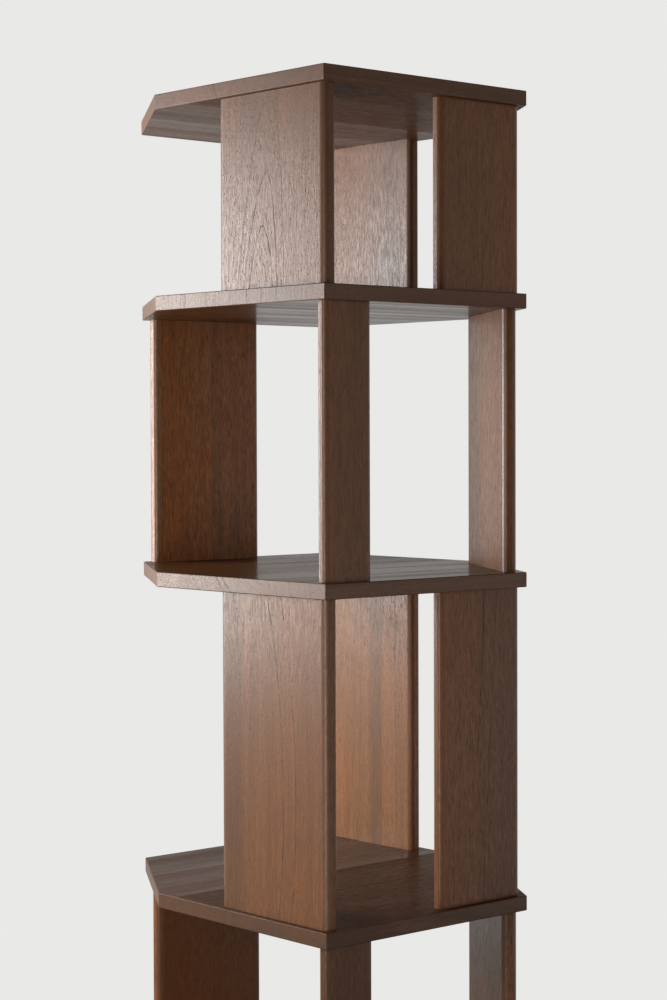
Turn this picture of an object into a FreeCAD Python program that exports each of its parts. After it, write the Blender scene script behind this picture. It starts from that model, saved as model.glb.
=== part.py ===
"""Tower bookshelf: hexagonal boards held apart by tiers of round-edged upright panels on hidden dowels.

Millimetres, +Z up. The origin lies on the floor under the middle of the boards, the sharp front corner
points to -X -Y, and the two cut corners lie to +X -Y and -X +Y. Every board has the same outline. The
tiers take turns between two arrangements of three panels, which stand at different places round the board.
"""
import FreeCAD, Part
import math
import os
from collections import namedtuple

import Sketcher

# Driving sizes in millimetres, one cell of the sheet each
SIZES = {
    "front_side": 355,
    "left_side": 345,
    "cut_across": 141,
    "cut_back": 220,
    "board_thickness": 20,
    "board_edge_round": 1.2,
    "panel_thickness": 20,
    "panel_round": 8,
    "edge_inset": 10,
    "corner_setback": 2,
    "corner_panel_start": 12,
    "side_panel_width": 212,
    "front_panel_width": 146,
    "back_panel_width": 192,
    "front_post_width": 78,
    "corner_panel_width": 228,
    "bottom_tier_height": 450,
    "lower_tier_height": 413,
    "upper_tier_height": 350,
    "top_tier_height": 248,
    "dowel_diameter": 10,
    "dowel_fit": 0.05,
    "dowel_margin": 25,
    "post_dowel_margin": 20,
    "dowel_cover": 7.5,
    "dowel_panel_depth": 20,
    "dowel_end_room": 0.5,
    "dowel_chamfer": 1,
    "pad_diameter": 28,
    "pad_thickness": 4,
    "pad_inset": 40,
}

# Lengths that follow from the driving sizes, as expressions on the sheet
HALF_WIDTH = "(Sizes.front_side + Sizes.cut_across) / 2"
HALF_DEPTH = "(Sizes.left_side + Sizes.cut_back) / 2"
HALF_PANEL = "Sizes.panel_thickness / 2"
LARGEST_ROUND = "Sizes.panel_thickness * 0.45"
PANEL_ROUND = f"min(Sizes.panel_round; {LARGEST_ROUND})"
HOLE_RADIUS = "Sizes.dowel_diameter / 2 + Sizes.dowel_fit"
BOARD_HOLE_DEPTH = "Sizes.board_thickness - Sizes.dowel_cover"
DOWEL_LENGTH = f"{BOARD_HOLE_DEPTH} + Sizes.dowel_panel_depth - 2 * Sizes.dowel_end_room"

# Directions of the panels, turned from +X about +Z
ALONG_FRONT = "0 deg"
ALONG_SIDE = "90 deg"
ALONG_CUT = "atan2(Sizes.cut_back; Sizes.cut_across)"

# One upright panel: its width, the middle of its foot, its direction, the dowels in each of its ends, and
# how far the outer dowels stand from its long edges
Panel = namedtuple("Panel", "name width middle_x middle_y direction dowels margin")
WIDE_MARGIN = "Sizes.dowel_margin"
POST_MARGIN = "Sizes.post_dowel_margin"


def corner_panel_middle(trig, side_trig, sign):
    """Offset of the corner panel's middle from the cut's first corner, along X (cos) or Y (sin)."""
    reach = f"(Sizes.corner_panel_start + Sizes.corner_panel_width / 2) * {trig}({ALONG_CUT})"
    depth = f"(Sizes.edge_inset + {HALF_PANEL}) * {side_trig}({ALONG_CUT})"
    return f"{reach} {sign} {depth}"


SIDE_ARRANGEMENT = (
    Panel(
        "left_panel", "Sizes.side_panel_width",
        f"-{HALF_WIDTH} + Sizes.edge_inset + {HALF_PANEL}",
        f"-{HALF_DEPTH} + Sizes.edge_inset + Sizes.side_panel_width / 2",
        ALONG_SIDE, 3, WIDE_MARGIN,
    ),
    Panel(
        "front_panel", "Sizes.front_panel_width",
        f"-{HALF_WIDTH} + Sizes.front_side - Sizes.corner_setback - Sizes.front_panel_width / 2",
        f"-{HALF_DEPTH} + Sizes.edge_inset + {HALF_PANEL}",
        ALONG_FRONT, 2, WIDE_MARGIN,
    ),
    Panel(
        "right_panel", "Sizes.side_panel_width",
        f"{HALF_WIDTH} - Sizes.edge_inset - {HALF_PANEL}",
        f"{HALF_DEPTH} - Sizes.edge_inset - Sizes.side_panel_width / 2",
        ALONG_SIDE, 3, WIDE_MARGIN,
    ),
)
CORNER_ARRANGEMENT = (
    Panel(
        "back_panel", "Sizes.back_panel_width",
        f"-{HALF_WIDTH} + Sizes.cut_across + Sizes.corner_setback + Sizes.back_panel_width / 2",
        f"{HALF_DEPTH} - Sizes.edge_inset - {HALF_PANEL}",
        ALONG_FRONT, 3, WIDE_MARGIN,
    ),
    Panel(
        "front_post", "Sizes.front_post_width",
        f"-{HALF_WIDTH} + Sizes.edge_inset + Sizes.front_post_width / 2",
        f"-{HALF_DEPTH} + Sizes.edge_inset + {HALF_PANEL}",
        ALONG_FRONT, 2, POST_MARGIN,
    ),
    Panel(
        "corner_panel", "Sizes.corner_panel_width",
        f"-{HALF_WIDTH} + Sizes.front_side + {corner_panel_middle('cos', 'sin', '-')}",
        f"-{HALF_DEPTH} + {corner_panel_middle('sin', 'cos', '+')}",
        ALONG_CUT, 3, WIDE_MARGIN,
    ),
)

# Boards and the tiers between them, from the floor up
BOARDS = ("base_board", "lower_shelf", "middle_shelf", "upper_shelf", "top_board")
TIERS = (
    ("bottom_tier", CORNER_ARRANGEMENT),
    ("lower_tier", SIDE_ARRANGEMENT),
    ("upper_tier", CORNER_ARRANGEMENT),
    ("top_tier", SIDE_ARRANGEMENT),
)

VOLUME_SLACK = 1e-4
PARALLEL_SLACK = 1e-6
UPRIGHT = FreeCAD.Vector(0, 0, 1)


def fill_sheet(doc):
    """Puts the driving sizes in the document's sheet, each under its own alias."""
    sheet = doc.addObject("Spreadsheet::Sheet", "Sizes")
    for row, (alias, value) in enumerate(SIZES.items(), start=1):
        sheet.set(f"A{row}", alias)
        sheet.set(f"B{row}", str(value))
        sheet.setAlias(f"B{row}", alias)
    doc.recompute()


def bind(target, expressions):
    """Binds each named property of an object to its expression."""
    for name, text in expressions.items():
        target.setExpression(name, text)


def new_body(doc, label):
    """An empty body, which may hold several separate solids, under the sub-part's own name."""
    body = doc.addObject("PartDesign::Body", label)
    body.Label = label
    body.AllowCompound = True
    return body


def new_sketch(body, name):
    """An empty sketch on the body's own XY plane."""
    plane = next(item for item in body.Origin.OriginFeatures if item.Role == "XY_Plane")
    sketch = body.newObject("Sketcher::SketchObject", f"{body.Name}_{name}")
    sketch.AttachmentSupport = [(plane, "")]
    sketch.MapMode = "FlatFace"
    return sketch


def amount(item, expression):
    """The number that an expression on the sheet comes to."""
    return float(item.evalExpression(expression))


def constrain(sketch, name, kind, places, expression):
    """Adds a named dimension to a sketch and binds it to its expression."""
    index = sketch.addConstraint(Sketcher.Constraint(kind, *places, amount(sketch, expression)))
    sketch.renameConstraint(index, name)
    sketch.setExpression(f"Constraints.{name}", expression)


def closed_outline(sketch, points):
    """Draws a closed outline of straight lines through the points, joined end to start."""
    corners = [FreeCAD.Vector(x, y, 0) for x, y in points]
    for start, end in zip(corners, corners[1:] + corners[:1]):
        sketch.addGeometry(Part.LineSegment(start, end))
    count = len(corners)
    for line in range(count):
        sketch.addConstraint(Sketcher.Constraint("Coincident", line, 2, (line + 1) % count, 1))


def add_pad(body, sketch, length):
    """Raises a sketch into a solid of the given height."""
    pad = body.newObject("PartDesign::Pad", f"{body.Name}_pad")
    pad.Profile = sketch
    pad.setExpression("Length", length)
    sketch.Document.recompute()
    return pad


def add_fillet(body, base, edges, radius):
    """Rounds the named edges of a solid."""
    fillet = body.newObject("PartDesign::Fillet", f"{body.Name}_round")
    fillet.Base = (base, edges)
    fillet.setExpression("Radius", radius)
    base.Document.recompute()


def dowel_span(panel):
    """Distance from a panel's first dowel to its last."""
    return f"{panel.width} - 2 * {panel.margin}"


def first_dowel(panel):
    """Where a panel's first dowel stands in the plan, as two expressions."""
    back = f"({dowel_span(panel)}) / 2"
    return (
        f"{panel.middle_x} - {back} * cos({panel.direction})",
        f"{panel.middle_y} - {back} * sin({panel.direction})",
    )


def centred_circle(body, name, radius):
    """A sketch of one circle about its own origin."""
    sketch = new_sketch(body, name)
    sketch.addGeometry(Part.Circle(FreeCAD.Vector(), UPRIGHT, amount(sketch, radius)))
    sketch.addConstraint(Sketcher.Constraint("Coincident", 0, 3, -1, 1))
    constrain(sketch, "radius", "Radius", (0,), radius)
    return sketch


def repeat_in_row(body, features, sketch, panel):
    """Repeats features along the X axis of their sketch, once for each dowel in a panel's end."""
    row = body.newObject("PartDesign::LinearPattern", f"{sketch.Name}_row")
    row.Originals = features
    row.Direction = (sketch, ["H_Axis"])
    row.setExpression("Length", dowel_span(panel))
    row.Occurrences = panel.dowels
    body.Tip = row
    body.Document.recompute()


def drill_row(body, name, panel, place, direction, face, depth, upward):
    """Drills a row of blind dowel holes into the top or the underside of a body.

    place is the first hole's X and Y, face the drilled face's height and depth how far the holes go in.
    """
    sketch = centred_circle(body, name, HOLE_RADIUS)
    bind(sketch, {
        "AttachmentOffset.Base.x": place[0],
        "AttachmentOffset.Base.y": place[1],
        "AttachmentOffset.Base.z": face,
        "AttachmentOffset.Rotation.Angle": direction,
    })
    before = body.Shape.Volume
    pocket = body.newObject("PartDesign::Pocket", f"{sketch.Name}_holes")
    pocket.Profile = sketch
    pocket.Reversed = upward
    pocket.setExpression("Length", depth)
    body.Document.recompute()
    repeat_in_row(body, [pocket], sketch, panel)
    removed = before - body.Shape.Volume
    wanted = panel.dowels * math.pi * sketch.Geometry[0].Radius ** 2 * pocket.Length.Value
    if abs(removed - wanted) > VOLUME_SLACK * wanted:
        raise RuntimeError(f"{sketch.Name}: the holes took {removed:.2f} and not {wanted:.2f} mm3")


def board_height(level):
    """Height of a board's underside: the floor pads, and the boards and tiers below it."""
    tiers = "".join(f" + Sizes.{name}_height" for name, _ in TIERS[:level])
    return f"Sizes.pad_thickness + {level} * Sizes.board_thickness{tiers}"


def make_board(doc, level):
    """A hexagonal board with eased edges, drilled for the panels that stand on it and under it."""
    body = new_body(doc, BOARDS[level])
    outline = new_sketch(body, "outline")
    right, back = amount(outline, HALF_WIDTH), amount(outline, HALF_DEPTH)
    cut_right = right - amount(outline, "Sizes.cut_across")
    cut_front = amount(outline, "Sizes.cut_back") - back
    closed_outline(outline, (
        (-right, -back), (cut_right, -back), (right, cut_front),
        (right, back), (-cut_right, back), (-right, -cut_front),
    ))
    for kind, line in (("Horizontal", 0), ("Vertical", 2), ("Horizontal", 3), ("Vertical", 5)):
        outline.addConstraint(Sketcher.Constraint(kind, line))
    for line, twin in ((0, 3), (2, 5)):
        outline.addConstraint(Sketcher.Constraint("Equal", line, twin))
    outline.addConstraint(Sketcher.Constraint("Symmetric", 0, 1, 3, 1, -1, 1))
    constrain(outline, "front_side", "DistanceX", (0, 1, 0, 2), "Sizes.front_side")
    constrain(outline, "left_side", "DistanceY", (5, 2, 5, 1), "Sizes.left_side")
    constrain(outline, "cut_across", "DistanceX", (1, 1, 1, 2), "Sizes.cut_across")
    constrain(outline, "cut_back", "DistanceY", (1, 1, 1, 2), "Sizes.cut_back")
    pad = add_pad(body, outline, "Sizes.board_thickness")
    every_edge = [f"Edge{number}" for number in range(1, len(pad.Shape.Edges) + 1)]
    add_fillet(body, pad, every_edge, "Sizes.board_edge_round")
    if level < len(TIERS):
        for panel in TIERS[level][1]:
            drill_row(body, f"{panel.name}_above", panel, first_dowel(panel), panel.direction,
                      "Sizes.board_thickness", BOARD_HOLE_DEPTH, upward=False)
    if level > 0:
        for panel in TIERS[level - 1][1]:
            drill_row(body, f"{panel.name}_below", panel, first_dowel(panel), panel.direction,
                      "0", BOARD_HOLE_DEPTH, upward=True)
    body.setExpression("Placement.Base.z", board_height(level))
    return body


def make_panel(doc, level, panel):
    """An upright panel with its four long edges rounded over, drilled in both ends."""
    tier = TIERS[level][0]
    body = new_body(doc, f"{tier}_{panel.name}")
    section = new_sketch(body, "section")
    end, face = amount(section, f"{panel.width} / 2"), amount(section, HALF_PANEL)
    closed_outline(section, ((-end, -face), (end, -face), (end, face), (-end, face)))
    for kind, line in (("Horizontal", 0), ("Vertical", 1), ("Horizontal", 2), ("Vertical", 3)):
        section.addConstraint(Sketcher.Constraint(kind, line))
    section.addConstraint(Sketcher.Constraint("Symmetric", 0, 1, 2, 1, -1, 1))
    constrain(section, "panel_width", "DistanceX", (0, 1, 0, 2), panel.width)
    constrain(section, "thickness", "DistanceY", (1, 1, 1, 2), "Sizes.panel_thickness")
    height = f"Sizes.{tier}_height"
    pad = add_pad(body, section, height)
    upright = [
        f"Edge{number}" for number, edge in enumerate(pad.Shape.Edges, start=1)
        if edge.tangentAt(edge.FirstParameter).isParallel(UPRIGHT, PARALLEL_SLACK)
    ]
    add_fillet(body, pad, upright, PANEL_ROUND)
    place = (f"-({dowel_span(panel)}) / 2", "0")
    drill_row(body, "foot", panel, place, ALONG_FRONT, "0", "Sizes.dowel_panel_depth", upward=True)
    drill_row(body, "head", panel, place, ALONG_FRONT, height, "Sizes.dowel_panel_depth", upward=False)
    bind(body, {
        "Placement.Base.x": panel.middle_x,
        "Placement.Base.y": panel.middle_y,
        "Placement.Base.z": f"{board_height(level)} + Sizes.board_thickness",
        "Placement.Rotation.Angle": panel.direction,
    })
    return body


def make_dowels(doc, level, panel, end):
    """The row of chamfered dowels that joins one end of a panel to the board beside it."""
    body = new_body(doc, f"{TIERS[level][0]}_{panel.name}_{end}_dowels")
    section = centred_circle(body, "section", "Sizes.dowel_diameter / 2")
    pad = add_pad(body, section, DOWEL_LENGTH)
    rims = [
        f"Edge{number}" for number, edge in enumerate(pad.Shape.Edges, start=1)
        if isinstance(edge.Curve, Part.Circle)
    ]
    chamfer = body.newObject("PartDesign::Chamfer", f"{body.Name}_chamfer")
    chamfer.Base = (pad, rims)
    chamfer.setExpression("Size", "Sizes.dowel_chamfer")
    doc.recompute()
    repeat_in_row(body, [pad, chamfer], section, panel)
    if end == "foot":
        height = f"{board_height(level)} + Sizes.dowel_cover + Sizes.dowel_end_room"
    else:
        height = f"{board_height(level + 1)} - Sizes.dowel_panel_depth + Sizes.dowel_end_room"
    place = first_dowel(panel)
    bind(body, {
        "Placement.Base.x": place[0],
        "Placement.Base.y": place[1],
        "Placement.Base.z": height,
        "Placement.Rotation.Angle": panel.direction,
    })
    return body


def make_floor_pads(doc):
    """Felt discs under the base board, one by each corner: three of them, and their half-turn copies."""
    body = new_body(doc, "floor_pads")
    discs = new_sketch(body, "discs")
    middles = (
        (f"{HALF_WIDTH} - Sizes.pad_inset", f"{HALF_DEPTH} - Sizes.pad_inset"),
        (f"{HALF_WIDTH} - Sizes.front_side", f"{HALF_DEPTH} - Sizes.pad_inset"),
        (f"Sizes.pad_inset - {HALF_WIDTH}", f"{HALF_DEPTH} - Sizes.cut_back"),
    )
    radius = amount(discs, "Sizes.pad_diameter / 2")
    for disc, (left, front) in enumerate(middles):
        middle = FreeCAD.Vector(-amount(discs, left), -amount(discs, front), 0)
        discs.addGeometry(Part.Circle(middle, UPRIGHT, radius))
        constrain(discs, f"radius_{disc}", "Radius", (disc,), "Sizes.pad_diameter / 2")
        constrain(discs, f"left_{disc}", "DistanceX", (disc, 3, -1, 1), left)
        constrain(discs, f"front_{disc}", "DistanceY", (disc, 3, -1, 1), front)
    pad = add_pad(body, discs, "Sizes.pad_thickness")
    turn = body.newObject("PartDesign::PolarPattern", "floor_pads_half_turn")
    turn.Originals = [pad]
    turn.Axis = (discs, ["N_Axis"])
    turn.Angle = 360
    turn.Occurrences = 2
    body.Tip = turn
    return body


def check(doc, bodies):
    """Stops if any object failed to compute or any sub-part's shape is empty or not valid."""
    failed = [item.Label for item in doc.Objects if {"Invalid", "Error"} & set(item.State)]
    failed += [body.Label for body in bodies if body.Shape.isNull() or not body.Shape.isValid()]
    if failed:
        raise RuntimeError(f"failed: {failed}")


def main():
    """Builds the shelf from the floor up, checks it and writes one file for each sub-part."""
    doc = FreeCAD.newDocument("tower_bookshelf")
    fill_sheet(doc)
    bodies = [make_floor_pads(doc)]
    bodies += [make_board(doc, level) for level in range(len(BOARDS))]
    for level, (_, arrangement) in enumerate(TIERS):
        for panel in arrangement:
            bodies.append(make_panel(doc, level, panel))
            bodies += [make_dowels(doc, level, panel, end) for end in ("foot", "head")]
    doc.recompute()
    check(doc, bodies)
    os.makedirs("parts", exist_ok=True)
    for body in bodies:
        body.Shape.exportStep(os.path.join("parts", f"{body.Label}.step"))
        print(f"{body.Label}: {len(body.Shape.Solids)} solids, {body.Shape.Volume:.0f} mm3")


main()
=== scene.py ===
"""Looks of the tower bookshelf: brown teak boards and panels in soft studio light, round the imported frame.

Metres, +Z up, in the frame's own axes. The boards and the upright panels are glued up from staves, and every
stave knows the log it was sawn from, so that faces, long edges and end grain belong together. The dowels stay
as they are packed, inside the wood, and the felt discs under the foot are replaced by softer ones.
"""

import logging
import math
from dataclasses import dataclass, field, replace
from enum import Enum
from functools import partial, reduce
from typing import NamedTuple, Optional, Sequence, Union

import bpy
import numpy as np
from mathutils import Matrix, Vector

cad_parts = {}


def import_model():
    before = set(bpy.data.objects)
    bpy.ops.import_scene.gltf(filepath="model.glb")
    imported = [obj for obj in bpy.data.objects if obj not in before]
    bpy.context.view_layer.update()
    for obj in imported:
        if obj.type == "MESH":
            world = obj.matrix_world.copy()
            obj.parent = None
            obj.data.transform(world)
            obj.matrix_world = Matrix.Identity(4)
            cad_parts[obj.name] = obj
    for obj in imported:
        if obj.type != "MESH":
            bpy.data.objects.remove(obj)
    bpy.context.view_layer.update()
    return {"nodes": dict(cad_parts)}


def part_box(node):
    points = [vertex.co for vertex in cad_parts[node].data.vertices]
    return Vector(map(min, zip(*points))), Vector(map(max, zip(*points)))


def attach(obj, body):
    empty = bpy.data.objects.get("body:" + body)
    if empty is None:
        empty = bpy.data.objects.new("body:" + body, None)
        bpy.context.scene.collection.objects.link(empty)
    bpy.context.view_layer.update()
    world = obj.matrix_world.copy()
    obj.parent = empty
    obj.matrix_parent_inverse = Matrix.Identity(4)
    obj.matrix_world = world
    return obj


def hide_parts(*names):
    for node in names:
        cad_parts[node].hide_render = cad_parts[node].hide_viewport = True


LOG = logging.getLogger("tower_bookshelf")

Pair = tuple[float, float]
Triple = tuple[float, float, float]
Colour = Triple
Socket = bpy.types.NodeSocket
Feed = Union[Socket, float, Sequence[float]]

BODY = "root"
BASE_BOARD = "base_board"
MILLIMETRE = 0.001
SEAM_SLACK = 0.01 * MILLIMETRE
NOISE_MIDDLE = 0.5
PLANK_SEED = 20


class Ramp(NamedTuple):
    """A smooth climb or fall: the readings at which it starts and ends, and the result at each."""

    low: float
    high: float
    start: float = 0.0
    end: float = 1.0


def srgb(red: int, green: int, blue: int) -> Colour:
    """Scene-linear colour of a display colour, by the sRGB curve's own constants.

    Args:
        red: Display red, 0 to 255.
        green: Display green, 0 to 255.
        blue: Display blue, 0 to 255.

    Returns:
        The three channels as linear light, 0 to 1.
    """
    shares = np.array([red, green, blue]) / 255.0
    linear = np.where(shares <= 0.04045, shares / 12.92, ((shares + 0.055) / 1.055) ** 2.4)
    return tuple(float(channel) for channel in linear)


# Node trees

class NodeGraph:
    """Adds nodes to a shader tree and joins them, so that a finish reads as a list of steps."""

    def __init__(self, tree: bpy.types.NodeTree) -> None:
        """Keeps the tree that the nodes go into."""
        self.tree = tree

    @classmethod
    def fresh(cls, owner: Union[bpy.types.Material, bpy.types.World]) -> "NodeGraph":
        """Empties the tree of a material or a world.

        Args:
            owner: What the tree belongs to.

        Returns:
            The tree, ready for nodes.
        """
        owner.use_nodes = True
        owner.node_tree.nodes.clear()
        return cls(owner.node_tree)

    def node(
        self, kind: str, feeds: Optional[dict[Union[str, int], Feed]] = None, **settings: object,
    ) -> bpy.types.Node:
        """Adds one node.

        Args:
            kind: Blender's name of the node type.
            feeds: What goes into each input: a socket to join, or a plain value.
            **settings: The node's own properties.

        Returns:
            The new node.
        """
        made = self.tree.nodes.new(kind)
        for name, value in settings.items():
            setattr(made, name, value)
        for name, value in (feeds or {}).items():
            self.feed(made.inputs[name], value)
        return made

    def feed(self, socket: Socket, value: Feed) -> None:
        """Joins a socket to another, or sets its plain value.

        Args:
            socket: The input to fill.
            value: An output to join, or a number, vector or colour.
        """
        if isinstance(value, bpy.types.NodeSocket):
            self.tree.links.new(value, socket)
        elif socket.type == "RGBA" and len(value) == 3:
            socket.default_value = (*value, 1.0)
        else:
            socket.default_value = value

    def math(self, operation: str, *numbers: Feed) -> Socket:
        """Works out one number from up to three, by Blender's name of the sum, such as MULTIPLY."""
        return self.node("ShaderNodeMath", dict(enumerate(numbers)), operation=operation).outputs[0]

    def product(self, *factors: Feed) -> Socket:
        """Multiplies numbers."""
        return reduce(partial(self.math, "MULTIPLY"), factors)

    def total(self, *terms: Feed) -> Socket:
        """Adds numbers."""
        return reduce(partial(self.math, "ADD"), terms)

    def largest(self, *numbers: Feed) -> Socket:
        """Takes the largest of several numbers."""
        return reduce(partial(self.math, "MAXIMUM"), numbers)

    def minus(self, number: Feed, taken: Feed) -> Socket:
        """Takes the second number from the first."""
        return self.math("SUBTRACT", number, taken)

    def vector(self, operation: str, *vectors: Feed) -> Socket:
        """Works out one vector from one or two, by Blender's name of the sum, such as ADD."""
        return self.node("ShaderNodeVectorMath", dict(enumerate(vectors)), operation=operation).outputs[0]

    def measure(self, operation: str, *vectors: Feed) -> Socket:
        """Works out one number from one or two vectors, such as a LENGTH."""
        made = self.node("ShaderNodeVectorMath", dict(enumerate(vectors)), operation=operation)
        return made.outputs["Value"]

    def parts(self, vector: Feed) -> tuple[Socket, Socket, Socket]:
        """Takes a vector apart into its three numbers."""
        return tuple(self.node("ShaderNodeSeparateXYZ", {0: vector}).outputs)

    def whole(self, x: Feed, y: Feed, z: Feed) -> Socket:
        """Puts three numbers together into a vector."""
        return self.node("ShaderNodeCombineXYZ", {0: x, 1: y, 2: z}).outputs[0]

    def ease(self, reading: Feed, ramp: Ramp) -> Socket:
        """Carries a reading smoothly along a ramp, and keeps it level on both sides."""
        feeds = dict(zip(("Value", "From Min", "From Max", "To Min", "To Max"), (reading, *ramp)))
        return self.node("ShaderNodeMapRange", feeds, interpolation_type="SMOOTHSTEP").outputs[0]

    def noise(self, place: Feed, detail: float = 2.0, roughness: float = 0.5) -> bpy.types.NodeOutputs:
        """Cloudy noise, with finer octaves, at a place that is already in the noise's own scale."""
        feeds = {"Vector": place, "Scale": 1.0, "Detail": detail, "Roughness": roughness}
        return self.node("ShaderNodeTexNoise", feeds).outputs

    def mix(self, share: Feed, first: Feed, second: Feed, blend: str = "MIX") -> Socket:
        """Mixes two colours.

        Args:
            share: How much of the second colour is taken.
            first: The colour at share 0.
            second: The colour at share 1.
            blend: Blender's name of the way of mixing.

        Returns:
            The mixed colour's socket.
        """
        made = self.node("ShaderNodeMix", data_type="RGBA", blend_type=blend)
        for name, value in (("Factor_Float", share), ("A_Color", first), ("B_Color", second)):
            self.feed(next(socket for socket in made.inputs if socket.identifier == name), value)
        return next(socket for socket in made.outputs if socket.identifier == "Result_Color")

    def shade(self, colour: Feed, brightness: Feed) -> Socket:
        """Multiplies a colour by a number."""
        return self.mix(1.0, colour, self.whole(brightness, brightness, brightness), "MULTIPLY")

    def bump(self, height: Feed, strength: float, distance: float) -> Socket:
        """Turns a height into a bent normal."""
        feeds = {"Height": height, "Strength": strength, "Distance": distance}
        return self.node("ShaderNodeBump", feeds).outputs[0]

    def attribute(self, name: str, output: str = "Vector") -> Socket:
        """Reads an attribute of the piece's own mesh."""
        made = self.node("ShaderNodeAttribute", attribute_name=name, attribute_type="GEOMETRY")
        return made.outputs[output]

    def use(self, group: bpy.types.NodeTree, feeds: dict[str, Feed]) -> bpy.types.NodeOutputs:
        """Places a node group, fills its named inputs and gives its named outputs."""
        return self.node("ShaderNodeGroup", feeds, node_tree=group).outputs

    def blend(self, share: Feed, first: bpy.types.Node, second: bpy.types.Node) -> Socket:
        """Blends two shaders."""
        feeds = {0: share, 1: first.outputs[0], 2: second.outputs[0]}
        return self.node("ShaderNodeMixShader", feeds).outputs[0]

    def cover(self, feeds: dict[str, Feed]) -> None:
        """Ends a material in one shader with these inputs."""
        shader = self.node("ShaderNodeBsdfPrincipled", feeds)
        self.node("ShaderNodeOutputMaterial", {"Surface": shader.outputs[0]})


class SocketKind(Enum):
    """Kinds of socket on a node group."""

    NUMBER = "NodeSocketFloat"
    VECTOR = "NodeSocketVector"


class Effect:
    """A shader node group that several finishes share. Subclasses name its sockets and fill it in.

    Attributes:
        name: The group's name.
        takes: Each named input and its kind.
        gives: The named outputs, all of them numbers.
        stride: How far the group's noise moves for each step of a log's seed.
    """

    name: str = ""
    takes: dict[str, SocketKind] = {}
    gives: tuple[str, ...] = ()
    stride: Triple = (0.0, 0.0, 0.0)

    def build(self) -> bpy.types.NodeTree:
        """Makes the group with its named sockets.

        Returns:
            The finished group.
        """
        tree = bpy.data.node_groups.new(self.name, "ShaderNodeTree")
        for title, kind in self.takes.items():
            tree.interface.new_socket(name=title, in_out="INPUT", socket_type=kind.value)
        for title in self.gives:
            tree.interface.new_socket(name=title, in_out="OUTPUT", socket_type=SocketKind.NUMBER.value)
        graph = NodeGraph(tree)
        graph.node("NodeGroupOutput", self.fill(graph, graph.node("NodeGroupInput").outputs))
        return tree

    def fill(self, graph: NodeGraph, taken: bpy.types.NodeOutputs) -> dict[str, Socket]:
        """Adds the effect's own nodes.

        Args:
            graph: The group's tree.
            taken: The group's inputs, by name.

        Returns:
            The socket of each output, by name.
        """
        raise NotImplementedError

    def drawn_out(self, graph: NodeGraph, grain: Socket, pace: Triple, seed: Socket) -> Socket:
        """Where a noise is read: the place in the wood times the noise's pace, moved on by the log's seed."""
        shift = graph.node("ShaderNodeVectorMath", {0: self.stride, "Scale": seed}, operation="SCALE")
        return graph.vector("ADD", graph.vector("MULTIPLY", grain, pace), shift.outputs[0])


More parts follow.
